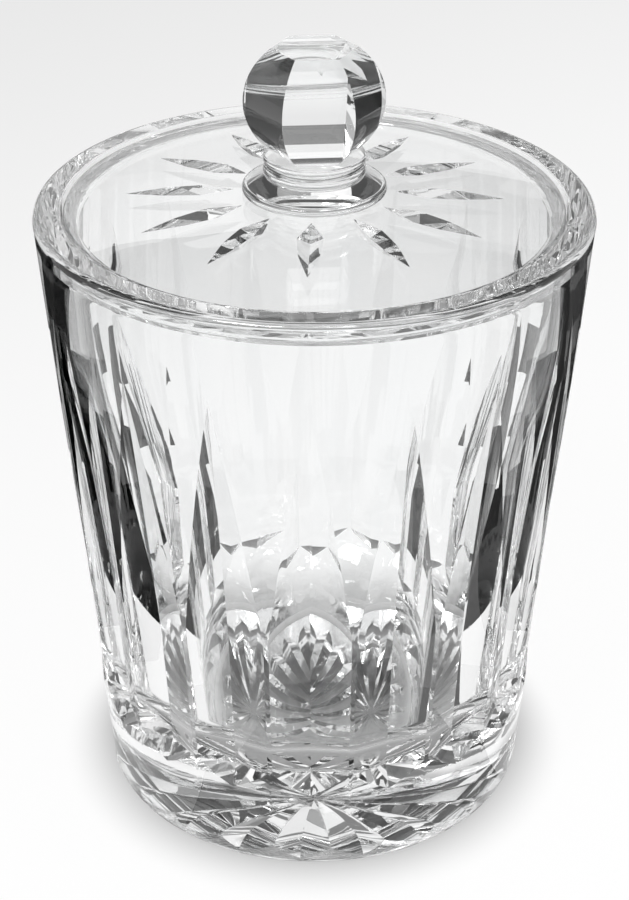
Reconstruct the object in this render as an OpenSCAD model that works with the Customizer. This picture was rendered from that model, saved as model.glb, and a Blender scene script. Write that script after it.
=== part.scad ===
// Lidded candy dish in clear cut crystal: tapered jar, inset lid, faceted ball knob.
// Millimetres, +Z up, origin at the centre of the jar's underside.

/* [Jar] */
// Outer radius at the rim
jar_rim_r = 70; // [60:0.5:80]
// Outer radius at the table, before the foot is rounded
jar_base_r = 57.2; // [50:0.1:64]
// Height from the table to the rim
jar_h = 165.5; // [145:0.5:190]
// Width of the band on top of the rim, outside the lid
rim_band = 7; // [5:0.1:9]
// Radius of the rim's rounded outer edge
rim_round = 2; // [1:0.1:3]
// Radius of the rounded edge under the foot
foot_round = 2.6; // [1.5:0.1:4]
// Depth of the lid seat below the rim
seat_depth = 7; // [5:0.1:9]
// Width of the ledge that carries the lid
seat_ledge = 5; // [3.5:0.1:6]
// Radius of the rounded edge between ledge and hollow
mouth_round = 1.6; // [0.8:0.1:2.4]
// Depth below the seat where the inner wall starts to bend in
shoulder_drop = 45; // [25:1:60]
// Distance that the inner wall bends in, up to the ledge
shoulder_in = 4.6; // [2:0.1:6]
// Thickness of the solid base in the middle of the floor
floor_h = 13; // [10:0.5:18]
// Inside radius of the wall, carried straight down to the height of the floor
floor_r = 47.5; // [44:0.5:49]
// Radius of the dished floor
bowl_r = 66; // [62:1:160]
// Radius of the hollow corner between wall and floor
floor_round = 14; // [8:0.5:18]

/* [Wall cuts] */
// Number of upright mitre cuts
cut_count = 18; // [12:1:24]
// Turn of the cuts about the axis, in degrees
cut_turn = -1; // [-10:0.5:10]
// Height of the pointed upper end
cut_tip_z = 142; // [120:1:150]
// Height where a cut reaches its full width
cut_full_z = 75; // [60:1:95]
// Height where a cut starts to close again
cut_close_z = 31; // [28:0.5:40]
// Height of the pointed lower end
cut_end_z = 25; // [18:0.5:27]
// Slope of a cut's faces against the wall, in degrees
cut_slope = 12.5; // [9:0.5:16]
// Uncut strip left between neighbouring cuts
cut_strip = 1.2; // [0.6:0.1:4]

/* [Base star] */
// Number of rays in the star under the base
star_rays = 20; // [12:1:24]
// Turn of the rays about the axis, in degrees
star_turn = -4; // [-10:0.5:10]
// Radius of the plain eye inside the rays
star_eye_r = 1.6; // [1:0.1:4]
// Radius of the rays' outer ends
star_end_r = 51; // [49:0.5:53]
// Greatest depth of a ray
star_depth = 2.6; // [1.2:0.1:3.5]
// Slope of a ray's faces, in degrees
star_slope = 20; // [16:1:30]
// Radius of the wheel that rounds the outer end of a ray
star_wheel_r = 30; // [20:1:45]
// Depth that the wheel takes below the straight run of a ray
star_bite = 0.15; // [0.05:0.05:0.5]

/* [Lid] */
// Gap between the lid's edge and the rim
lid_gap = 0.7; // [0.4:0.1:1.2]
// Height of the rim above the lid's edge
lid_drop = 0.6; // [0.2:0.1:2]
// Rise of the lid from its edge to the knob
lid_rise = 3.2; // [2:0.1:6]
// Thickness of the glass in the lid
lid_wall = 6.2; // [4.5:0.1:7]
// Width of the bevels on the lid's edge
lid_bevel = 0.8; // [0.4:0.1:1.2]
// Width of the flat ring that rests on the ledge
lid_rest = 3.6; // [3:0.1:6]
// Margin of the flat pad around the knob's foot
pad_margin = 0.3; // [0.1:0.1:1]

/* [Lid star] */
// Number of leaf-shaped cuts around the knob
leaf_count = 12; // [8:1:14]
// Turn of the leaves about the axis, in degrees
leaf_turn = -2; // [-15:0.5:15]
// Radius of a leaf's inner end
leaf_in_r = 20; // [19.5:0.5:24]
// Radius of a leaf's outer end
leaf_out_r = 47; // [40:0.5:54]
// Radius where a leaf is deepest
leaf_low_r = 28; // [26:0.5:31]
// Radius where the long outer taper of a leaf starts
leaf_mid_r = 37; // [33:0.5:39]
// Greatest depth of a leaf
leaf_depth = 1.5; // [0.8:0.1:2]
// Depth of a leaf where its long taper starts
leaf_mid_depth = 1.2; // [0.6:0.1:1.6]
// Slope of a leaf's faces, in degrees
leaf_slope = 25; // [20:1:35]

/* [Knob] */
// Radius of the knob's foot on the lid
foot_r = 18; // [16:0.1:19]
// Thickness of the foot's rounded edge
foot_edge = 2.4; // [1.5:0.1:3.5]
// Number of rings between foot and ball
ring_count = 2; // [1:1:3]
// Outer radius of the rings
ring_r = 12.8; // [11:0.1:14.5]
// Height of one ring
ring_h = 2.8; // [1.6:0.1:3.5]
// Radius of a ring's rounded face
ring_round = 2.6; // [1.8:0.1:4]
// Height of the rings' underside above the lid
ring_z = 4.6; // [3.6:0.1:6]
// Distance from the ball's axis to the middle of its six curved panels
ball_flat_r = 15.1; // [13:0.1:17]
// Radius of the panels' upright curve
ball_curve_r = 17.5; // [16:0.1:26]
// Height of the ball's middle above the rings
ball_rise = 13.4; // [11.5:0.1:14.5]
// Height of the table facet above the ball's middle
table_z = 13.2; // [8:0.1:14.5]
// Turn of the ball about the axis, in degrees
ball_turn = 4; // [-30:1:30]

/* [Hidden] */
$fn = 96;
seat_z = jar_h - seat_depth;
seat_r = jar_rim_r - rim_band;
mouth_r = seat_r - seat_ledge;
lid_r = seat_r - lid_gap;
lid_top_z = jar_h - lid_drop;
pad_r = foot_r + pad_margin;
pad_z = lid_top_z + lid_rise;
dome_r = ((lid_r * lid_r - pad_r * pad_r) / lid_rise + lid_rise) / 2;
dome_z = lid_top_z - sqrt(dome_r * dome_r - lid_r * lid_r);
ring_top_z = ring_z + ring_count * ring_h;

// A cutting bar is this much wider than its cut
tool_spare = 1.4;

// Inner wall: a straight cone, then one arc that bends in and ends at the mouth
inner_lean = atan2(mouth_r + shoulder_in - floor_r, seat_z - floor_h);
inner_in = [-cos(inner_lean), sin(inner_lean)];
shoulder_p = [mouth_r + shoulder_in - shoulder_drop * tan(inner_lean), seat_z - shoulder_drop];
shoulder_chord = [mouth_r, seat_z] - shoulder_p;
shoulder_r = (shoulder_chord * shoulder_chord) / (2 * shoulder_chord * inner_in);
shoulder_c = shoulder_p + shoulder_r * inner_in;

// Rounded mouth, which touches that arc and the ledge
mouth_reach = shoulder_r + mouth_round;
mouth_cz = seat_z - mouth_round;
mouth_cr = shoulder_c[0] + sqrt(mouth_reach * mouth_reach - pow(mouth_cz - shoulder_c[1], 2));
mouth_c = [mouth_cr, mouth_cz];
mouth_p = shoulder_c + (mouth_c - shoulder_c) * shoulder_r / mouth_reach;

// Hollow corner, which touches the dished floor and the inner wall
bowl_c = [0, floor_h + bowl_r];
corner_k = tan(inner_lean);
corner_r0 = floor_r - floor_h * corner_k - floor_round / cos(inner_lean);
corner_q = (bowl_c[1] - corner_r0 * corner_k) / (1 + corner_k * corner_k);
corner_d = corner_r0 * corner_r0 + bowl_c[1] * bowl_c[1] - pow(bowl_r - floor_round, 2);
corner_z = corner_q - sqrt(corner_q * corner_q - corner_d / (1 + corner_k * corner_k));
corner_c = [corner_r0 + corner_k * corner_z, corner_z];
bowl_p = bowl_c + (corner_c - bowl_c) * bowl_r / (bowl_r - floor_round);
wall_p = corner_c - floor_round * inner_in;

// Height of the lid's dome at radius r
function dome_at(r) = dome_z + sqrt(dome_r * dome_r - r * r);

// Outer radius of the jar at height z
function wall_r(z) = jar_base_r + (jar_rim_r - jar_base_r) * z / jar_h;

// Half the angle that one wall cut spans at height z
function cut_a(z) = 180 / cut_count - cut_strip / wall_r(z) * 90 / PI;

// Depth at which a wall cut leaves just the stated strip
function cut_deep(z) = wall_r(z) * (sin(cut_a(z)) * tan(cut_slope) + 1 - cos(cut_a(z)));

// Radius and height of a wall cut's bottom line where it is at full width
function cut_line(z) = [wall_r(z) - cut_deep(z), z];

// V-shaped bar whose edge runs from a to b, each a radius and a height,
// and which opens to the right of that direction
module vee(a, b, slope, half, deep, reach) {
    turn = atan2(b[0] - a[0], b[1] - a[1]);
    step = half * tan(slope);
    translate([a[0], 0, a[1]])
        rotate([0, turn, 0])
            translate([0, 0, -reach])
                linear_extrude(height = 2 * reach)
                    polygon([[0, 0], [step, half], [deep, half], [deep, -half], [step, -half]]);
}

// One upright mitre cut: a long taper, a full-width run and a short lower end
module wall_cut() {
    half = PI * jar_rim_r / cut_count * tool_spare;
    tip = [wall_r(cut_tip_z), cut_tip_z];
    end = [wall_r(cut_end_z), cut_end_z];
    full = cut_line(cut_full_z);
    close = cut_line(cut_close_z);
    intersection() {
        vee(full, tip, cut_slope, half, jar_rim_r, jar_h);
        vee(close, full, cut_slope, half, jar_rim_r, jar_h);
        vee(end, close, cut_slope, half, 2 * jar_rim_r, 2 * jar_h);
    }
}

// One ray of the star under the base: a straight run, then the round end that a wheel leaves
module star_ray() {
    half = star_depth / tan(star_slope) * tool_spare;
    wheel_x = star_end_r - sqrt(star_depth * (2 * star_wheel_r - star_depth));
    side_r = star_wheel_r - half * tan(star_slope);
    intersection() {
        vee([star_eye_r, 0], [wheel_x, star_depth - star_bite], star_slope, half, jar_rim_r, jar_rim_r);
        translate([0, -jar_rim_r, -jar_rim_r]) cube([wheel_x, 2 * jar_rim_r, 2 * jar_rim_r]);
    }
    translate([wheel_x, 0, star_depth - star_wheel_r])
        rotate([90, 0, 0])
            rotate_extrude()
                polygon([[0, -half], [side_r, -half], [star_wheel_r, 0], [side_r, half], [0, half]]);
}

// Outline of the jar's outside, rounded at the foot and at the rim
module jar_outline() {
    lean = atan2(jar_rim_r - jar_base_r, jar_h);
    foot_c = wall_r(foot_round) - foot_round / cos(lean);
    rim_c = wall_r(jar_h - rim_round) - rim_round / cos(lean);
    foot_p = [foot_c + foot_round * cos(lean), foot_round - foot_round * sin(lean)];
    rim_p = [rim_c + rim_round * cos(lean), jar_h - rim_round - rim_round * sin(lean)];
    polygon([
        [0, 0],
        [foot_c, 0],
        [foot_c, foot_round],
        foot_p,
        rim_p,
        [rim_c, jar_h - rim_round],
        [rim_c, jar_h],
        [0, jar_h]
    ]);
    translate([foot_c, foot_round]) circle(r = foot_round);
    translate([rim_c, jar_h - rim_round]) circle(r = rim_round);
}

// Outline of the hollow, from the dished floor up to the rounded mouth
module hollow_outline() {
    intersection() {
        translate(bowl_c) circle(r = bowl_r, $fn = 720);
        square([seat_r, bowl_p[1]]);
    }
    polygon([[0, bowl_p[1]], bowl_p, wall_p, [0, wall_p[1]]]);
    intersection() {
        translate(corner_c) circle(r = floor_round);
        translate([0, bowl_p[1]]) square([seat_r, wall_p[1] - bowl_p[1]]);
    }
    polygon([[0, wall_p[1]], wall_p, shoulder_p, [0, shoulder_p[1]]]);
    intersection() {
        translate(shoulder_c) circle(r = shoulder_r, $fn = 720);
        translate([0, shoulder_p[1]]) square([seat_r, mouth_p[1] - shoulder_p[1]]);
    }
    difference() {
        polygon([
            [0, mouth_p[1]],
            mouth_p,
            [mouth_c[0], seat_z],
            [mouth_c[0], jar_h],
            [0, jar_h]
        ]);
        translate(mouth_c) circle(r = mouth_round);
    }
}

// Jar with its lid seat, upright cuts and star-cut base
module jar() {
    color([0.93, 0.95, 0.96, 0.4])
        difference() {
            rotate_extrude() jar_outline();
            rotate_extrude() hollow_outline();
            translate([0, 0, seat_z]) cylinder(r = seat_r, h = seat_depth + 1);
            for (i = [0 : cut_count - 1])
                rotate([0, 0, cut_turn - 90 + i * 360 / cut_count]) wall_cut();
            for (i = [0 : star_rays - 1])
                rotate([0, 0, star_turn - 90 + i * 360 / star_rays]) star_ray();
        }
}

// Outline of the lid: a shallow dome with a flat pad and a flat rest ring
module lid_outline() {
    rest_r = lid_r - lid_rest;
    difference() {
        intersection() {
            polygon([
                [0, seat_z],
                [lid_r - lid_bevel, seat_z],
                [lid_r, seat_z + lid_bevel],
                [lid_r, lid_top_z - lid_bevel],
                [lid_r - lid_bevel, pad_z],
                [0, pad_z]
            ]);
            translate([0, dome_z]) circle(r = dome_r, $fn = 720);
        }
        intersection() {
            translate([0, dome_z]) circle(r = dome_r - lid_wall, $fn = 720);
            translate([-1, seat_z - 1]) square([rest_r + 1, lid_rise + seat_depth]);
        }
    }
}

// One leaf of the star on the lid: two long tapers and a short middle run
module leaf() {
    out = [leaf_out_r, dome_at(leaf_out_r)];
    mid = [leaf_mid_r, dome_at(leaf_mid_r) - leaf_mid_depth];
    low = [leaf_low_r, dome_at(leaf_low_r) - leaf_depth];
    in = [leaf_in_r, dome_at(leaf_in_r)];
    half = leaf_depth / tan(leaf_slope) * tool_spare;
    intersection() {
        vee(out, mid, leaf_slope, half, lid_r, lid_r);
        vee(mid, low, leaf_slope, half, lid_r, lid_r);
        vee(low, in, leaf_slope, half, lid_r, lid_r);
    }
}

// Lid with a star of leaf-shaped cuts around the knob
module lid() {
    color([0.93, 0.95, 0.96, 0.4])
        difference() {
            rotate_extrude()
                intersection() {
                    lid_outline();
                    square([lid_r + 1, pad_z + 1]);
                }
            for (i = [0 : leaf_count - 1])
                rotate([0, 0, leaf_turn - 90 + i * 360 / leaf_count]) leaf();
        }
}

// One pair of opposite panels of the ball, between its table and the rings
module panel_pair() {
    shift = ball_curve_r - ball_flat_r;
    rotate([90, 0, 0])
        linear_extrude(height = 4 * ball_flat_r, center = true)
            intersection() {
                translate([shift, 0]) circle(r = ball_curve_r, $fn = 720);
                translate([-shift, 0]) circle(r = ball_curve_r, $fn = 720);
                translate([-ball_flat_r, -ball_rise]) square([2 * ball_flat_r, ball_rise + table_z]);
            }
}

// Outline of the foot and the rings that carry the ball
module stem_outline() {
    edge = foot_edge / 2;
    core = ring_r - ring_round + sqrt(ring_round * ring_round - ring_h * ring_h / 4);
    square([foot_r - edge, foot_edge]);
    translate([foot_r - edge, edge]) circle(r = edge);
    polygon([[0, foot_edge], [foot_r - edge, foot_edge], [core, ring_z], [0, ring_z]]);
    translate([0, ring_z]) square([core, ring_count * ring_h]);
    for (i = [0 : ring_count - 1])
        intersection() {
            translate([ring_r - ring_round, ring_z + (i + 0.5) * ring_h]) circle(r = ring_round);
            translate([0, ring_z + i * ring_h]) square([ring_r + 1, ring_h]);
        }
}

// Knob: a six-sided ball with a flat table, on a ringed foot
module knob() {
    color([0.93, 0.95, 0.96, 0.4])
        translate([0, 0, pad_z])
            union() {
                rotate_extrude()
                    intersection() {
                        stem_outline();
                        square([foot_r + 1, ring_top_z]);
                    }
                translate([0, 0, ring_top_z + ball_rise])
                    rotate([0, 0, ball_turn + 30])
                        intersection() {
                            panel_pair();
                            rotate([0, 0, 60]) panel_pair();
                            rotate([0, 0, 120]) panel_pair();
                        }
            }
}

jar();
lid();
knob();
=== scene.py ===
import math
import bpy
import bmesh
from mathutils import Matrix, Vector


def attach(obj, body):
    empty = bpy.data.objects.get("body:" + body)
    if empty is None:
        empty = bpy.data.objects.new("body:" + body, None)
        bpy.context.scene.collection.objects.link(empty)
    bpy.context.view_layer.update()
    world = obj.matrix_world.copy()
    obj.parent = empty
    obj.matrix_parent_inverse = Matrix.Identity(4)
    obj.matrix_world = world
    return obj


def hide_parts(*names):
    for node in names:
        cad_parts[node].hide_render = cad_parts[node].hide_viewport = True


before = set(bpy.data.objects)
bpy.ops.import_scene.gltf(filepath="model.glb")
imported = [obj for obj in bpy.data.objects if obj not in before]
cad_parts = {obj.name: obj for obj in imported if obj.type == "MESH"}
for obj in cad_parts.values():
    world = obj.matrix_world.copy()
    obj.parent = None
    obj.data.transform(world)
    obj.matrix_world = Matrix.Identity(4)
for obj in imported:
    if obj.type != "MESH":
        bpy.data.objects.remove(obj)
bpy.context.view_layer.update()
scene = bpy.context.scene
mm = 0.001
weldGap, cutGap = 1e-7, 1e-8  # metres: points this close become one, and count as on a cut
print("frame loaded:", sorted(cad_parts))


# mesh tools shared by the glass pieces

def newObject(name, bm, material, sharpAngle):
    mesh = bpy.data.meshes.new(name)
    bm.to_mesh(mesh)
    bm.free()
    piece = bpy.data.objects.new(name, mesh)
    scene.collection.objects.link(piece)
    mesh.materials.append(material)
    finishShading(piece, sharpAngle)
    return piece


def finishShading(piece, sharpAngle):
    for face in piece.data.polygons:
        face.use_smooth = True
    piece.data.set_sharp_from_angle(angle=math.radians(sharpAngle))


def arcPoints(centre, radius, fromDeg, toDeg, steps):
    points = []
    for i in range(steps + 1):
        a = math.radians(fromDeg + (toDeg - fromDeg) * i / steps)
        points.append((centre[0] + radius * math.cos(a), centre[1] + radius * math.sin(a)))
    return points


def angleTo(centre, point):
    return math.degrees(math.atan2(point[1] - centre[1], point[0] - centre[0]))


def spinProfile(profile, steps):
    bm = bmesh.new()
    ring = [bm.verts.new((r * mm, 0, z * mm)) for r, z in profile]
    edges = [bm.edges.new(pair) for pair in zip(ring, ring[1:])]
    bmesh.ops.spin(bm, geom=ring + edges, cent=(0, 0, 0), axis=(0, 0, 1), angle=2 * math.pi,
                   steps=steps, use_merge=True)
    bmesh.ops.remove_doubles(bm, verts=bm.verts, dist=weldGap)
    bmesh.ops.dissolve_degenerate(bm, dist=cutGap, edges=bm.edges)
    bmesh.ops.recalc_face_normals(bm, faces=bm.faces)
    return bm


def keepAbove(bm, point, normal):
    geom = bm.verts[:] + bm.edges[:] + bm.faces[:]
    cut = bmesh.ops.bisect_plane(bm, geom=geom, dist=cutGap, plane_co=point, plane_no=normal,
                                 clear_inner=True)
    rim = [e for e in cut["geom_cut"] if isinstance(e, bmesh.types.BMEdge)]
    if rim:
        bmesh.ops.contextual_create(bm, geom=rim)


def mitreTool(lines, slope, half, box, share):
    # a block trimmed by both faces of each V; every line gives two (radius, height) points
    bm = bmesh.new()
    low, high = box
    bmesh.ops.create_cube(bm, size=1)
    size = ((high[0] - low[0]) * mm, 2 * half * mm, (high[1] - low[1]) * mm)
    middle = ((low[0] + high[0]) / 2 * mm, 0, (low[1] + high[1]) / 2 * mm)
    bmesh.ops.scale(bm, verts=bm.verts, vec=size)
    bmesh.ops.translate(bm, verts=bm.verts, vec=middle)
    if share:
        for side in (-1, 1):  # stays inside its own share of the circle
            keepAbove(bm, Vector(), Vector((math.sin(share), side * math.cos(share), 0)))
    for a, b in lines:
        along = Vector((b[0] - a[0], 0, b[1] - a[1])).normalized()
        out = Vector((along.z, 0, -along.x))
        start = Vector((a[0] * mm, 0, a[1] * mm))
        for side in (-1, 1):
            keepAbove(bm, start, out + Vector((0, side * math.tan(math.radians(slope)), 0)))
            bmesh.ops.remove_doubles(bm, verts=bm.verts, dist=weldGap)
    bmesh.ops.recalc_face_normals(bm, faces=bm.faces)
    return bm


def cutAround(piece, tool, count, turn, material):
    # one copy of the tool at each step around the axis, taken away from the piece
    cutters = bmesh.new()
    mesh = bpy.data.meshes.new("tool")
    tool.to_mesh(mesh)
    tool.free()
    for i in range(count):
        start = len(cutters.verts)
        cutters.from_mesh(mesh)
        cutters.verts.ensure_lookup_table()
        bmesh.ops.rotate(cutters, verts=cutters.verts[start:], cent=(0, 0, 0),
                         matrix=Matrix.Rotation(math.radians(turn + i * 360 / count), 3, "Z"))
    bpy.data.meshes.remove(mesh)
    combine(piece, newObject("cutters", cutters, material, 1), "DIFFERENCE")


def combine(piece, other, operation):
    # fuses the other shape to the piece or takes it away, and throws the other one out
    modifier = piece.modifiers.new("combine", "BOOLEAN")
    modifier.operation = operation
    modifier.solver = "MANIFOLD"
    modifier.object = other
    graph = bpy.context.evaluated_depsgraph_get()
    made = bpy.data.meshes.new_from_object(piece.evaluated_get(graph))
    old, otherMesh = piece.data, other.data
    piece.modifiers.clear()
    piece.data = made
    bpy.data.objects.remove(other)
    bpy.data.meshes.remove(old)
    bpy.data.meshes.remove(otherMesh)
    made.name = piece.name


# finishes that all the glass shares

finishLook = {
    # noise: features per metre across the piece and along its axis, detail
    "peel": (420, 420, 1), "smudge": (38, 38, 3), "grain": (900, 900, 2),
    "scratchUp": (1500, 90, 0), "scratchRound": (70, 1700, 0), "threadDetail": 2,
    # where on its noise each one starts and is full
    "smudgeAt": (0.52, 0.72), "scratchUpAt": (0.74, 0.8), "scratchRoundAt": (0.75, 0.82),
    "threadAt": (0.35, 0.75), "grainAt": (0.4, 0.65), "grainLeast": 0.25,
}


def newGroup(name, values, colours, outputs):
    group = bpy.data.node_groups.new(name, "ShaderNodeTree")
    for kind, inputs in (("NodeSocketFloat", values), ("NodeSocketColor", colours)):
        for label, value in inputs:
            socket = group.interface.new_socket(label, in_out="INPUT", socket_type=kind)
            socket.default_value = value
    for label, kind in outputs:
        group.interface.new_socket(label, in_out="OUTPUT", socket_type=kind)
    return group, group.nodes.new("NodeGroupInput"), group.nodes.new("NodeGroupOutput")


def drawnNoise(group, across, along, detail):
    # noise with so many features per metre across the piece and along its axis
    coords = group.nodes.new("ShaderNodeTexCoord")
    rate = group.nodes.new("ShaderNodeCombineXYZ")
    scaled = group.nodes.new("ShaderNodeVectorMath")
    scaled.operation = "MULTIPLY"
    noise = group.nodes.new("ShaderNodeTexNoise")
    noise.inputs["Scale"].default_value = 1
    noise.inputs["Detail"].default_value = detail
    for socket, value in (("X", across), ("Y", across), ("Z", along)):
        if isinstance(value, (int, float)):
            rate.inputs[socket].default_value = value
        else:
            group.links.new(value, rate.inputs[socket])
    group.links.new(coords.outputs["Object"], scaled.inputs[0])
    group.links.new(rate.outputs["Vector"], scaled.inputs[1])
    group.links.new(scaled.outputs["Vector"], noise.inputs["Vector"])
    return noise.outputs["Fac"]


def maths(group, operation, a, b):
    node = group.nodes.new("ShaderNodeMath")
    node.operation = operation
    for socket, value in zip(node.inputs, (a, b)):
        if isinstance(value, (int, float)):
            socket.default_value = value
        else:
            group.links.new(value, socket)
    return node.outputs["Value"]


def softStep(group, value, low, high, fromValue, toValue):
    node = group.nodes.new("ShaderNodeMapRange")
    node.interpolation_type = "SMOOTHSTEP"
    limits = {"From Min": low, "From Max": high, "To Min": fromValue, "To Max": toValue}
    for label, given in limits.items():
        if isinstance(given, (int, float)):
            node.inputs[label].default_value = given
        else:
            group.links.new(given, node.inputs[label])
    group.links.new(value, node.inputs["Value"])
    return node.outputs["Result"]


def makePolishRipple():
    # broad waves left by fire polishing, with a finer peel from the acid bath
    group, given, out = newGroup("polishRipple", [("Across", 60), ("Along", 25), ("Peel", 0.05)], [],
                                 [("Height", "NodeSocketFloat")])
    wave = drawnNoise(group, given.outputs["Across"], given.outputs["Along"], 0)
    peel = drawnNoise(group, *finishLook["peel"])
    total = maths(group, "ADD", wave, maths(group, "MULTIPLY", peel, given.outputs["Peel"]))
    group.links.new(total, out.inputs["Height"])
    return group


def makeHandlingMarks():
    # faint smudges, and hair scratches that show only where they catch the light
    group, given, out = newGroup("handlingMarks", [("Smudge", 0.01), ("Scratch", 0.05)], [],
                                 [("Roughness", "NodeSocketFloat")])
    shown = []
    for mark, strength in (("smudge", "Smudge"), ("scratchUp", "Scratch"), ("scratchRound", "Scratch")):
        noise = drawnNoise(group, *finishLook[mark])
        shown.append(softStep(group, noise, *finishLook[mark + "At"], 0, given.outputs[strength]))
    scratches = maths(group, "ADD", shown[1], shown[2])
    group.links.new(maths(group, "ADD", shown[0], scratches), out.inputs["Roughness"])
    return group


def makeGlassStriae():
    # threads of slightly denser glass, drawn out along the axis
    group, given, out = newGroup("glassStriae", [("Across", 90), ("Along", 16)],
                                 [("Clear", (1, 1, 1, 1)), ("Dense", (0.97, 0.98, 0.98, 1))],
                                 [("Color", "NodeSocketColor")])
    thread = drawnNoise(group, given.outputs["Across"], given.outputs["Along"],
                        finishLook["threadDetail"])
    mix = group.nodes.new("ShaderNodeMix")
    mix.data_type = "RGBA"
    group.links.new(softStep(group, thread, *finishLook["threadAt"], 0, 1), mix.inputs["Factor"])
    group.links.new(given.outputs["Clear"], mix.inputs["A"])
    group.links.new(given.outputs["Dense"], mix.inputs["B"])
    group.links.new(mix.outputs["Result"], out.inputs["Color"])
    return group


def makeRestWear():
    # the worn ring where a piece stands or is set down, at one height
    group, given, out = newGroup("restWear", [("Height", 0), ("Reach", 0.0004), ("Wear", 0.2)], [],
                                 [("Roughness", "NodeSocketFloat")])
    coords = group.nodes.new("ShaderNodeTexCoord")
    parts = group.nodes.new("ShaderNodeSeparateXYZ")
    group.links.new(coords.outputs["Object"], parts.inputs["Vector"])
    above = maths(group, "SUBTRACT", parts.outputs["Z"], given.outputs["Height"])
    near = softStep(group, maths(group, "ABSOLUTE", above, 0), 0, given.outputs["Reach"], 1, 0)
    noise = drawnNoise(group, *finishLook["grain"])
    grain = softStep(group, noise, *finishLook["grainAt"], finishLook["grainLeast"], 1)
    worn = maths(group, "MULTIPLY", maths(group, "MULTIPLY", near, grain), given.outputs["Wear"])
    group.links.new(worn, out.inputs["Roughness"])
    return group


finishes = {
    "ripple": makePolishRipple(), "marks": makeHandlingMarks(),
    "striae": makeGlassStriae(), "wear": makeRestWear(),
}
clearGlass, denseGlass = (0.99, 0.993, 0.993, 1), (0.965, 0.972, 0.974, 1)
print("finishes:", sorted(finishes))


def placeFinish(tree, finish, values):
    node = tree.nodes.new("ShaderNodeGroup")
    node.node_tree = finishes[finish]
    for label, value in values.items():
        node.inputs[label].default_value = value
    return node


def crystal(name, look):
    material = bpy.data.materials.new(name)
    material.use_nodes = True
    tree = material.node_tree
    shader = tree.nodes["Principled BSDF"]
    shader.inputs["Metallic"].default_value = 0
    shader.inputs["IOR"].default_value = look["ior"]
    shader.inputs["Transmission Weight"].default_value = 1
    striae = placeFinish(tree, "striae", look["striae"])
    tree.links.new(striae.outputs["Color"], shader.inputs["Base Color"])
    ripple = placeFinish(tree, "ripple", look["ripple"])
    bump = tree.nodes.new("ShaderNodeBump")
    bump.inputs["Strength"].default_value = 1
    bump.inputs["Distance"].default_value = look["rippleDepth"]
    tree.links.new(ripple.outputs["Height"], bump.inputs["Height"])
    tree.links.new(bump.outputs["Normal"], shader.inputs["Normal"])
    rough = placeFinish(tree, "marks", look["marks"]).outputs["Roughness"]
    for values in look["wear"]:
        rough = maths(tree, "ADD", rough, placeFinish(tree, "wear", values).outputs["Roughness"])
    tree.links.new(rough, shader.inputs["Roughness"])
    return material


# jar

jarSize = {
    "rimR": 70, "baseR": 57.2, "height": 165.5, "rimBand": 7, "rimRound": 2, "footRound": 2.6,
    "edge": 0.5, "seatDepth": 7, "seatLedge": 5, "mouthRound": 1.6,
    "shoulderDrop": 45, "shoulderIn": 4.6, "floorH": 13, "floorR": 47.5, "bowlR": 66, "floorRound": 14,
    "cuts": 18, "cutTurn": -91, "tipZ": 142, "fullZ": 75, "closeZ": 31, "endZ": 25,
    "slope": 12.5, "strip": 1.2, "cutSpare": 1.2, "shareGap": 0.2,
    "cutBlock": ((40, 10), (90, 160)),  # inner and outer radius and height of the cutting block
    "rays": 20, "rayTurn": -94, "eyeR": 1.6, "rayEndR": 51, "rayDepth": 2.6, "raySlope": 20,
    "raySpare": 1.3, "rayBlockR": (0.5, 60), "rayBlockZ": (-0.02, 6), "wheelBlock": 9,
    "wheelR": 30, "wheelBite": 0.15, "wheelFaces": 15, "wheelFrom": 108, "wheelStep": 3.2,
    "steps": 288, "sharp": 5,
}
jarLook = {
    "ior": 1.54, "rippleDepth": 0.0004,
    "ripple": {"Across": 55, "Along": 14, "Peel": 0.002},
    "striae": {"Across": 90, "Along": 12, "Clear": clearGlass, "Dense": denseGlass},
    "marks": {"Smudge": 0.01, "Scratch": 0.05},
    "wear": [{"Height": 0, "Reach": 0.0004, "Wear": 0.22},  # under the foot
             {"Height": 0.1585, "Reach": 0.0003, "Wear": 0.12}],  # on the lid's seat
}


def jarWallR(z):
    return jarSize["baseR"] + (jarSize["rimR"] - jarSize["baseR"]) * z / jarSize["height"]


def jarCutLine(z):
    r = jarWallR(z)
    a = math.pi / jarSize["cuts"] - jarSize["strip"] / r / 2
    return (r - r * (math.sin(a) * math.tan(math.radians(jarSize["slope"])) + 1 - math.cos(a)), z)


def outsideProfile():
    # from the middle of the base out, up the wall and over the rim to the lid seat
    s = jarSize
    lean = math.atan2(s["rimR"] - s["baseR"], s["height"])
    leanDeg = math.degrees(lean)
    footC = jarWallR(s["footRound"]) - s["footRound"] / math.cos(lean)
    rimZ = s["height"] - s["rimRound"]
    rimC = jarWallR(rimZ) - s["rimRound"] / math.cos(lean)
    seatR = s["rimR"] - s["rimBand"]
    profile = [(0, 0), (footC * 0.5, 0)]
    profile += arcPoints((footC, s["footRound"]), s["footRound"], -90, -leanDeg, 18)
    profile += arcPoints((rimC, rimZ), s["rimRound"], -leanDeg, 90, 20)
    profile += arcPoints((seatR + s["edge"], s["height"] - s["edge"]), s["edge"], 90, 180, 8)
    return profile + [(seatR, s["height"] - s["seatDepth"])]


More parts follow.
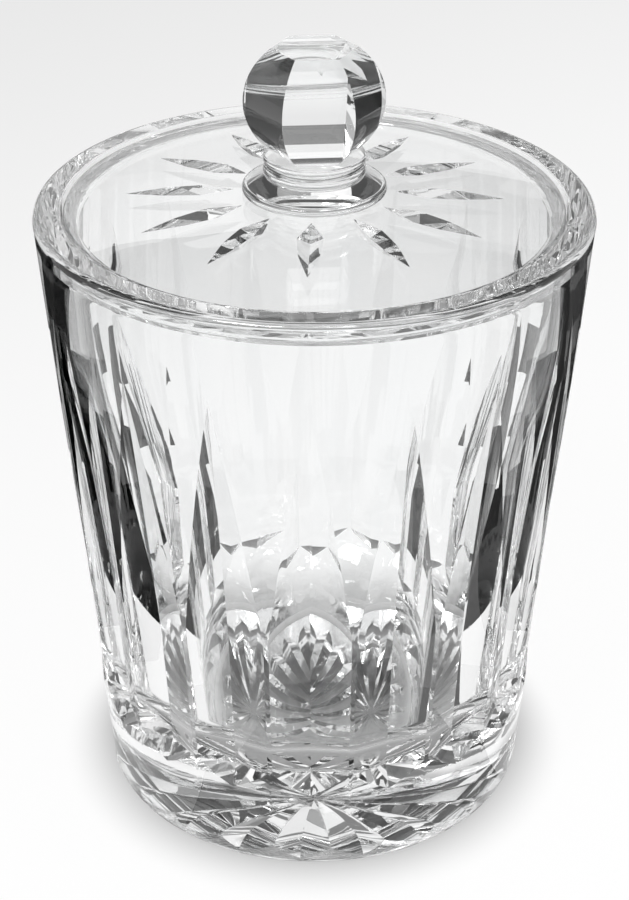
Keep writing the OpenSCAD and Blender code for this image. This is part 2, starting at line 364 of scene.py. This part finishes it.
def insideProfile():
    # from the ledge over the rounded mouth, down the bent and the straight wall to the dished floor
    s = jarSize
    seatZ = s["height"] - s["seatDepth"]
    mouthR = s["rimR"] - s["rimBand"] - s["seatLedge"]
    lean = math.atan2(mouthR + s["shoulderIn"] - s["floorR"], seatZ - s["floorH"])
    inward = Vector((-math.cos(lean), math.sin(lean)))
    straightR = mouthR + s["shoulderIn"] - s["shoulderDrop"] * math.tan(lean)
    bend = Vector((straightR, seatZ - s["shoulderDrop"]))
    chord = Vector((mouthR, seatZ)) - bend
    bendR = chord.length_squared / (2 * chord.dot(inward))
    bendC = bend + bendR * inward
    lipZ = seatZ - s["mouthRound"]
    lipR = bendC.x + math.sqrt((bendR + s["mouthRound"]) ** 2 - (lipZ - bendC.y) ** 2)
    lipC = Vector((lipR, lipZ))
    lipDeg = angleTo(bendC, lipC)
    bowlC = Vector((0, s["floorH"] + s["bowlR"]))
    k = math.tan(lean)
    r0 = s["floorR"] - s["floorH"] * k - s["floorRound"] / math.cos(lean)
    q = (bowlC.y - r0 * k) / (1 + k * k)
    d = r0 * r0 + bowlC.y ** 2 - (s["bowlR"] - s["floorRound"]) ** 2
    cornerZ = q - math.sqrt(q * q - d / (1 + k * k))
    cornerC = Vector((r0 + k * cornerZ, cornerZ))
    bowlDeg = angleTo(bowlC, cornerC)
    profile = arcPoints(lipC, s["mouthRound"], 90, 180 + lipDeg, 12)
    profile += arcPoints(bendC, bendR, lipDeg, angleTo(bendC, bend), 40)[1:]
    profile += arcPoints(cornerC, s["floorRound"], -math.degrees(lean), bowlDeg, 24)
    return profile + arcPoints(bowlC, s["bowlR"], bowlDeg, -90, 40)[1:-1] + [(0, s["floorH"])]


def cutStar(piece, material):
    # each ray is a straight run and the rounded end that a wheel leaves; every other ray at a time
    s = jarSize
    half = s["rayDepth"] / math.tan(math.radians(s["raySlope"])) * s["raySpare"]
    wheelX = s["rayEndR"] - math.sqrt(s["rayDepth"] * (2 * s["wheelR"] - s["rayDepth"]))
    wheelZ = s["rayDepth"] - s["wheelR"]
    run = [((s["eyeR"], 0), (wheelX, s["rayDepth"] - s["wheelBite"]))]
    end = []
    for i in range(s["wheelFaces"]):
        a = math.radians(s["wheelFrom"] - i * s["wheelStep"])
        touch = (wheelX + s["wheelR"] * math.cos(a), wheelZ + s["wheelR"] * math.sin(a))
        end.append((touch, (touch[0] + math.sin(a), touch[1] - math.cos(a))))
    inR, outR = s["rayBlockR"]
    for first in (0, 1):
        turn = s["rayTurn"] + first * 360 / s["rays"]
        for lines, fromR, toR in ((run, inR, wheelX), (end, wheelX - s["wheelBlock"], outR)):
            block = tuple(zip((fromR, toR), s["rayBlockZ"]))
            tool = mitreTool(lines, s["raySlope"], half, block, None)
            cutAround(piece, tool, s["rays"] // 2, turn, material)


def makeJar(material):
    s = jarSize
    blank = spinProfile(outsideProfile() + insideProfile(), s["steps"])
    piece = newObject("crystalJar", blank, material, s["sharp"])
    half = math.pi * s["rimR"] / s["cuts"] * s["cutSpare"]
    tip = (jarWallR(s["tipZ"]), s["tipZ"])
    end = (jarWallR(s["endZ"]), s["endZ"])
    full, close = jarCutLine(s["fullZ"]), jarCutLine(s["closeZ"])
    tool = mitreTool([(full, tip), (close, full), (end, close)], s["slope"], half, s["cutBlock"],
                     math.radians(180 / s["cuts"] - s["shareGap"]))
    cutAround(piece, tool, s["cuts"], s["cutTurn"], material)
    cutStar(piece, material)
    finishShading(piece, s["sharp"])
    return piece


jar = makeJar(crystal("jarCrystal", jarLook))
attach(jar, "jar_body")
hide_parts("jar")
print("jar:", len(jar.data.polygons), "faces")


# lid

lidSize = {
    "r": 62.3, "topZ": 164.9, "rise": 3.2, "wall": 6.2, "bevel": 0.8, "rest": 3.6, "seatZ": 158.5,
    "lift": 0.06, "padR": 18.3, "seamR": 16.8,
    "leaves": 12, "leafTurn": -92, "leafIn": 20, "leafLow": 28, "leafMid": 37, "leafOut": 47,
    "leafDepth": 1.5, "leafMidDepth": 1.2, "leafSlope": 25, "leafSpare": 1.4, "shareGap": 0.2,
    "leafBlock": ((10, 155), (60, 175)),
    "steps": 288, "underRows": 16, "domeRows": 20, "sharp": 4,
}
lidLook = {
    "ior": 1.54, "rippleDepth": 0.0002,
    "ripple": {"Across": 45, "Along": 45, "Peel": 0.002},
    "striae": {"Across": 60, "Along": 60, "Clear": clearGlass, "Dense": denseGlass},
    "marks": {"Smudge": 0.012, "Scratch": 0.05},
    "wear": [{"Height": 0.15856, "Reach": 0.0003, "Wear": 0.15}],
}
padZ = lidSize["topZ"] + lidSize["rise"]
domeR = ((lidSize["r"] ** 2 - lidSize["padR"] ** 2) / lidSize["rise"] + lidSize["rise"]) / 2
domeZ = lidSize["topZ"] - math.sqrt(domeR ** 2 - lidSize["r"] ** 2)


def domeAt(r, drop=0):
    return domeZ + math.sqrt((domeR - drop) ** 2 - r * r)


def lidProfile():
    s = lidSize
    low = s["seatZ"] + s["lift"]
    restR = s["r"] - s["rest"]
    edgeR = s["r"] - s["bevel"]
    under = [restR * i / s["underRows"] for i in range(s["underRows"] + 1)]
    dome = [edgeR + (s["padR"] - edgeR) * i / s["domeRows"] for i in range(1, s["domeRows"] + 1)]
    profile = [(r, domeAt(r, s["wall"])) for r in under] + [(restR, low), (edgeR, low)]
    profile += arcPoints((edgeR, low + s["bevel"]), s["bevel"], -90, 0, 8)[1:]
    profile += arcPoints((edgeR, domeAt(edgeR) - s["bevel"]), s["bevel"], 0, 88, 8)
    profile += [(r, domeAt(r)) for r in dome]
    return profile + [(s["seamR"], padZ), (0, padZ)]


def makeLid(material):
    s = lidSize
    piece = newObject("crystalLid", spinProfile(lidProfile(), s["steps"]), material, s["sharp"])
    half = s["leafDepth"] / math.tan(math.radians(s["leafSlope"])) * s["leafSpare"]
    # from the leaf's outer point along its keel to its inner point
    depths = ((s["leafOut"], 0), (s["leafMid"], s["leafMidDepth"]),
              (s["leafLow"], s["leafDepth"]), (s["leafIn"], 0))
    keel = [(r, domeAt(r) - depth) for r, depth in depths]
    tool = mitreTool(list(zip(keel, keel[1:])), s["leafSlope"], half, s["leafBlock"],
                     math.radians(180 / s["leaves"] - s["shareGap"]))
    cutAround(piece, tool, s["leaves"], s["leafTurn"], material)
    finishShading(piece, s["sharp"])
    return piece


lid = makeLid(crystal("lidCrystal", lidLook))
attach(lid, "lid_body")
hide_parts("lid")
print("lid:", len(lid.data.polygons), "faces")


# knob

knobSize = {
    "footR": 18, "footEdge": 2.4,
    "rings": 2, "ringR": 12.8, "ringH": 2.8, "ringRound": 2.6, "ringZ": 4.6,
    "flatR": 15.1, "curveR": 17.5, "ballRise": 13.4, "tableZ": 13.2, "ballTurn": 4, "panels": 6,
    "tenon": 0.6, "tenonDrop": 1,  # share of the ball's underside that reaches down into the rings
    "seamGap": 0.02, "rows": 56, "steps": 288, "sharp": 12,
}
knobLook = {
    "ior": 1.54, "rippleDepth": 0.00015,
    "ripple": {"Across": 70, "Along": 70, "Peel": 0.003},
    "striae": {"Across": 110, "Along": 60, "Clear": clearGlass, "Dense": denseGlass},
    "marks": {"Smudge": 0.015, "Scratch": 0.06},
    "wear": [],
}


def stemProfile():
    s = knobSize
    edge = s["footEdge"] / 2
    span = math.degrees(math.asin(s["ringH"] / 2 / s["ringRound"]))
    profile = [(0, s["seamGap"]), (s["footR"] - edge, s["seamGap"])]
    profile += arcPoints((s["footR"] - edge, edge), edge, -90, 90, 20)
    for i in range(s["rings"]):
        centre = (s["ringR"] - s["ringRound"], s["ringZ"] + (i + 0.5) * s["ringH"])
        profile += arcPoints(centre, s["ringRound"], -span, span, 16)[(1 if i else 0):]
    return profile + [(0, s["ringZ"] + s["rings"] * s["ringH"])]


def makeBall():
    # six curved panels: an upright arc spun in six steps
    s = knobSize
    back = s["flatR"] - s["curveR"]
    fromDeg = -math.degrees(math.asin(s["ballRise"] / s["curveR"]))
    toDeg = math.degrees(math.asin(s["tableZ"] / s["curveR"]))
    arc = arcPoints((back, 0), s["curveR"], fromDeg, toDeg, s["rows"])
    tenonR, lowZ = arc[0][0] * s["tenon"], arc[0][1]
    profile = [(0, lowZ - s["tenonDrop"]), (tenonR, lowZ - s["tenonDrop"]), (tenonR, lowZ)]
    profile += arc + [(0, s["tableZ"])]
    middle = s["ringZ"] + s["rings"] * s["ringH"] + s["ballRise"]
    corner = math.cos(math.pi / s["panels"])
    bm = spinProfile([(r / corner, z + middle) for r, z in profile], s["panels"])
    bmesh.ops.rotate(bm, verts=bm.verts, cent=(0, 0, 0),
                     matrix=Matrix.Rotation(math.radians(s["ballTurn"]), 3, "Z"))
    return bm


def makeKnob(material):
    s = knobSize
    piece = newObject("crystalKnob", spinProfile(stemProfile(), s["steps"]), material, s["sharp"])
    combine(piece, newObject("ballBlank", makeBall(), material, s["sharp"]), "UNION")
    piece.data.transform(Matrix.Translation((0, 0, padZ * mm)))
    finishShading(piece, s["sharp"])
    return piece


knob = makeKnob(crystal("knobCrystal", knobLook))
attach(knob, "lid_body")
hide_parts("knob")
print("knob:", len(knob.data.polygons), "faces")


# the seam where knob and lid are fused has glass on both sides, so light goes straight on

seamFind = {"reach": 2.2e-5, "level": 0.99}  # metres from the pad, how level a face has to be


def fusedSeam():
    material = bpy.data.materials.new("fusedSeam")
    material.use_nodes = True
    shader = material.node_tree.nodes["Principled BSDF"]
    shader.inputs["Base Color"].default_value = (1, 1, 1, 1)
    shader.inputs["Roughness"].default_value = 0
    shader.inputs["IOR"].default_value = 1
    shader.inputs["Transmission Weight"].default_value = 1
    return material


seam = fusedSeam()
for piece in (lid, knob):
    piece.data.materials.append(seam)
    for face in piece.data.polygons:
        atPad = abs(face.center.z - padZ * mm) < seamFind["reach"]
        inside = math.hypot(face.center.x, face.center.y) < lidSize["seamR"] * mm
        if atPad and inside and abs(face.normal.z) > seamFind["level"]:
            face.material_index = 1


# stage

stageLook = {
    "paper": (0.95, 0.95, 0.95, 1), "glow": 0.95, "floorR": 6, "floorDrop": 0.00005, "world": 0.9,
    # painted light falloff: the paper's glow is darker towards one corner, between these distances
    "paleTo": (0.6, -0.8, 0), "paleAt": (-0.75, 0.1), "paleFar": 0.8, "paleNear": 1.0,
    # painted shade under the dish, darkest behind: radius from and to, depth from and to, level in
    # front and behind
    "shadeR": (0.045, 0.072), "shadeY": (-0.03, 0.03), "shadeFront": 0.38, "shadeBack": 0.02,
    "cardZ": 0.0004, "cardSteps": 32,
    # cards lying on both sides: degrees from and to, left of straight behind, and two radii
    "lying": {"near": (42, 125, 0.115, 0.19), "mid": (32, 90, 0.19, 0.28),
              "far": (26, 74, 0.28, 0.45), "long": (32, 60, 0.45, 1.6)},
    "lyingLevel": {"Left": 0.0, "Right": 0.02},
    # dark card lying in front, a painted shade at the foot that only the glass sees: the same, and its
    # level
    "front": (140, 248, 0.06, 0.115, 0.12),
    # standing cards: degrees from and to, distance, low and high edge, level
    "standing": {
        "backCardLow": (-30, 30, 1.6, 0.0, 0.42, 0.25),
        "backCardLeft": (30, 64, 1.6, 0.0, 0.7, 0.02),
        "backCardRight": (-64, -30, 1.6, 0.0, 0.7, 0.02),
        "backCardHigh": (-64, 64, 1.6, 0.7, 2.8, 0.08),
        "lidCardLeft": (-2, 18, 1.5, 0.66, 1.0, 1.05),
        "lidCardRight": (-18, -2, 1.5, 0.66, 1.0, 0.4),
        "sideCardLowLeft": (64, 150, 1.6, 0.0, 1.1, 0.55),
        "sideCardLowRight": (-150, -64, 1.6, 0.0, 1.1, 0.45),
        "sideCardHighLeft": (64, 150, 1.6, 1.1, 2.4, 0.08),
        "sideCardHighRight": (-150, -64, 1.6, 1.1, 2.4, 0.08),
    },
    "lamps": {"softBoxLeft": ((-0.5, -0.75, 1.25), 0.4, 8)},  # place, size, watts
    "lampAim": (0, 0, 0.1),
}


def glowMaterial(name, level):
    material = bpy.data.materials.new(name)
    material.use_nodes = True
    tree = material.node_tree
    tree.nodes.clear()
    out = tree.nodes.new("ShaderNodeOutputMaterial")
    glow = tree.nodes.new("ShaderNodeEmission")
    glow.inputs["Color"].default_value = (1, 1, 1, 1)
    glow.inputs["Strength"].default_value = level
    tree.links.new(glow.outputs["Emission"], out.inputs["Surface"])
    return material


def makeFloor():
    bm = bmesh.new()
    bmesh.ops.create_circle(bm, cap_ends=True, segments=96, radius=stageLook["floorR"])
    bmesh.ops.translate(bm, verts=bm.verts, vec=(0, 0, -stageLook["floorDrop"]))
    material = glowMaterial("paperFloor", 1)
    tree = material.node_tree
    out, glow = tree.nodes["Material Output"], tree.nodes["Emission"]
    coords = tree.nodes.new("ShaderNodeTexCoord").outputs["Object"]
    turned = tree.nodes.new("ShaderNodeVectorMath")
    turned.operation = "DOT_PRODUCT"
    turned.inputs[1].default_value = stageLook["paleTo"]
    away = tree.nodes.new("ShaderNodeVectorMath")
    away.operation = "LENGTH"
    parts = tree.nodes.new("ShaderNodeSeparateXYZ")
    for socket in (turned.inputs[0], away.inputs[0], parts.inputs["Vector"]):
        tree.links.new(coords, socket)
    # painted light falloff: the glow gets darker towards one corner
    paintedFalloff = softStep(tree, turned.outputs["Value"], *stageLook["paleAt"],
                    stageLook["paleFar"], stageLook["paleNear"])
    # painted shade under and around the dish, darker behind, in place of its cast shadow
    under = softStep(tree, parts.outputs["Y"], *stageLook["shadeY"],
                     stageLook["shadeFront"], stageLook["shadeBack"])
    paintedShade = softStep(tree, away.outputs["Value"], *stageLook["shadeR"], under, 1)
    tree.links.new(maths(tree, "MULTIPLY", paintedFalloff, paintedShade), glow.inputs["Color"])
    # lit paper for the room; for the camera and for what the glass shows, a glow with the painted shade
    # and the painted falloff in its colour, so the shadow cast on the paper shows at only a twentieth
    # of its strength
    path = tree.nodes.new("ShaderNodeLightPath")
    throughGlass = maths(tree, "MAXIMUM", path.outputs["Is Glossy Ray"],
                         path.outputs["Is Transmission Ray"])
    seen = maths(tree, "MAXIMUM", path.outputs["Is Camera Ray"], throughGlass)
    paper = tree.nodes.new("ShaderNodeBsdfDiffuse")
    paper.inputs["Color"].default_value = stageLook["paper"]
    mix = tree.nodes.new("ShaderNodeMixShader")
    tree.links.new(maths(tree, "MULTIPLY", seen, stageLook["glow"]), mix.inputs["Fac"])
    tree.links.new(paper.outputs["BSDF"], mix.inputs[1])
    tree.links.new(glow.outputs["Emission"], mix.inputs[2])
    tree.links.new(mix.outputs["Shader"], out.inputs["Surface"])
    floor = newObject("paperFloor", bm, material, 30)


def sweptCard(name, ends, fromDeg, toDeg, level):
    # an edge swept around the axis; the camera and the paper don't see the card, the glass does
    bm = bmesh.new()
    verts = [bm.verts.new((0, r, z)) for r, z in ends]
    edge = bm.edges.new(verts)
    bmesh.ops.rotate(bm, verts=verts, cent=(0, 0, 0),
                     matrix=Matrix.Rotation(math.radians(fromDeg), 3, "Z"))
    bmesh.ops.spin(bm, geom=verts + [edge], cent=(0, 0, 0), axis=(0, 0, 1),
                   angle=math.radians(toDeg - fromDeg), steps=stageLook["cardSteps"])
    card = newObject(name, bm, glowMaterial(name, level), 30)
    card.visible_camera = False
    card.visible_diffuse = False
    card.visible_shadow = False


def areaLamp(name, place, size, watts):
    data = bpy.data.lights.new(name, "AREA")
    data.size = size
    data.energy = watts
    lamp = bpy.data.objects.new(name, data)
    scene.collection.objects.link(lamp)
    lamp.location = place
    aim = Vector(stageLook["lampAim"]) - Vector(place)
    lamp.rotation_euler = aim.to_track_quat("-Z", "Y").to_euler()


makeFloor()
cardZ = stageLook["cardZ"]
for side, sign in (("Left", 1), ("Right", -1)):
    for name, (fromDeg, toDeg, near, far) in stageLook["lying"].items():
        sweptCard(name + "Card" + side, ((near, cardZ), (far, cardZ)), sign * fromDeg, sign * toDeg,
                  stageLook["lyingLevel"][side])
# painted shade: a dark card in front of the foot, seen only in the glass
fromDeg, toDeg, near, far, level = stageLook["front"]
sweptCard("frontShadeCard", ((near, cardZ), (far, cardZ)), fromDeg, toDeg, level)
for name, (fromDeg, toDeg, away, low, high, level) in stageLook["standing"].items():
    sweptCard(name, ((away, low), (away, high)), fromDeg, toDeg, level)
for name, (place, size, watts) in stageLook["lamps"].items():
    areaLamp(name, place, size, watts)

world = bpy.data.worlds.new("paleRoom")
scene.world = world
world.use_nodes = True
sky = world.node_tree.nodes["Background"]
sky.inputs["Color"].default_value = (1, 1, 1, 1)
sky.inputs["Strength"].default_value = stageLook["world"]


# camera

cameraLook = {
    "distance": 0.56, "elevation": 30, "aimZ": 0.0937, "lens": 84.36, "sensor": 36, "clip": 0.01,
}
lightTurns = {"all": 64, "glass": 64, "gloss": 48, "clear": 16}  # cut edges go black with fewer


def makeCamera():
    c = cameraLook
    data = bpy.data.cameras.new("camera")
    data.lens = c["lens"]
    data.sensor_width = c["sensor"]
    data.clip_start = c["clip"]
    camera = bpy.data.objects.new("camera", data)
    scene.collection.objects.link(camera)
    e = math.radians(c["elevation"])
    camera.location = (0, -c["distance"] * math.cos(e), c["aimZ"] + c["distance"] * math.sin(e))
    camera.rotation_euler = (math.radians(90 - c["elevation"]), 0, 0)
    scene.camera = camera


makeCamera()
scene.view_settings.view_transform = "Standard"
scene.cycles.max_bounces = lightTurns["all"]
scene.cycles.transmission_bounces = lightTurns["glass"]
scene.cycles.glossy_bounces = lightTurns["gloss"]
scene.cycles.transparent_max_bounces = lightTurns["clear"]
print("camera and light paths set")
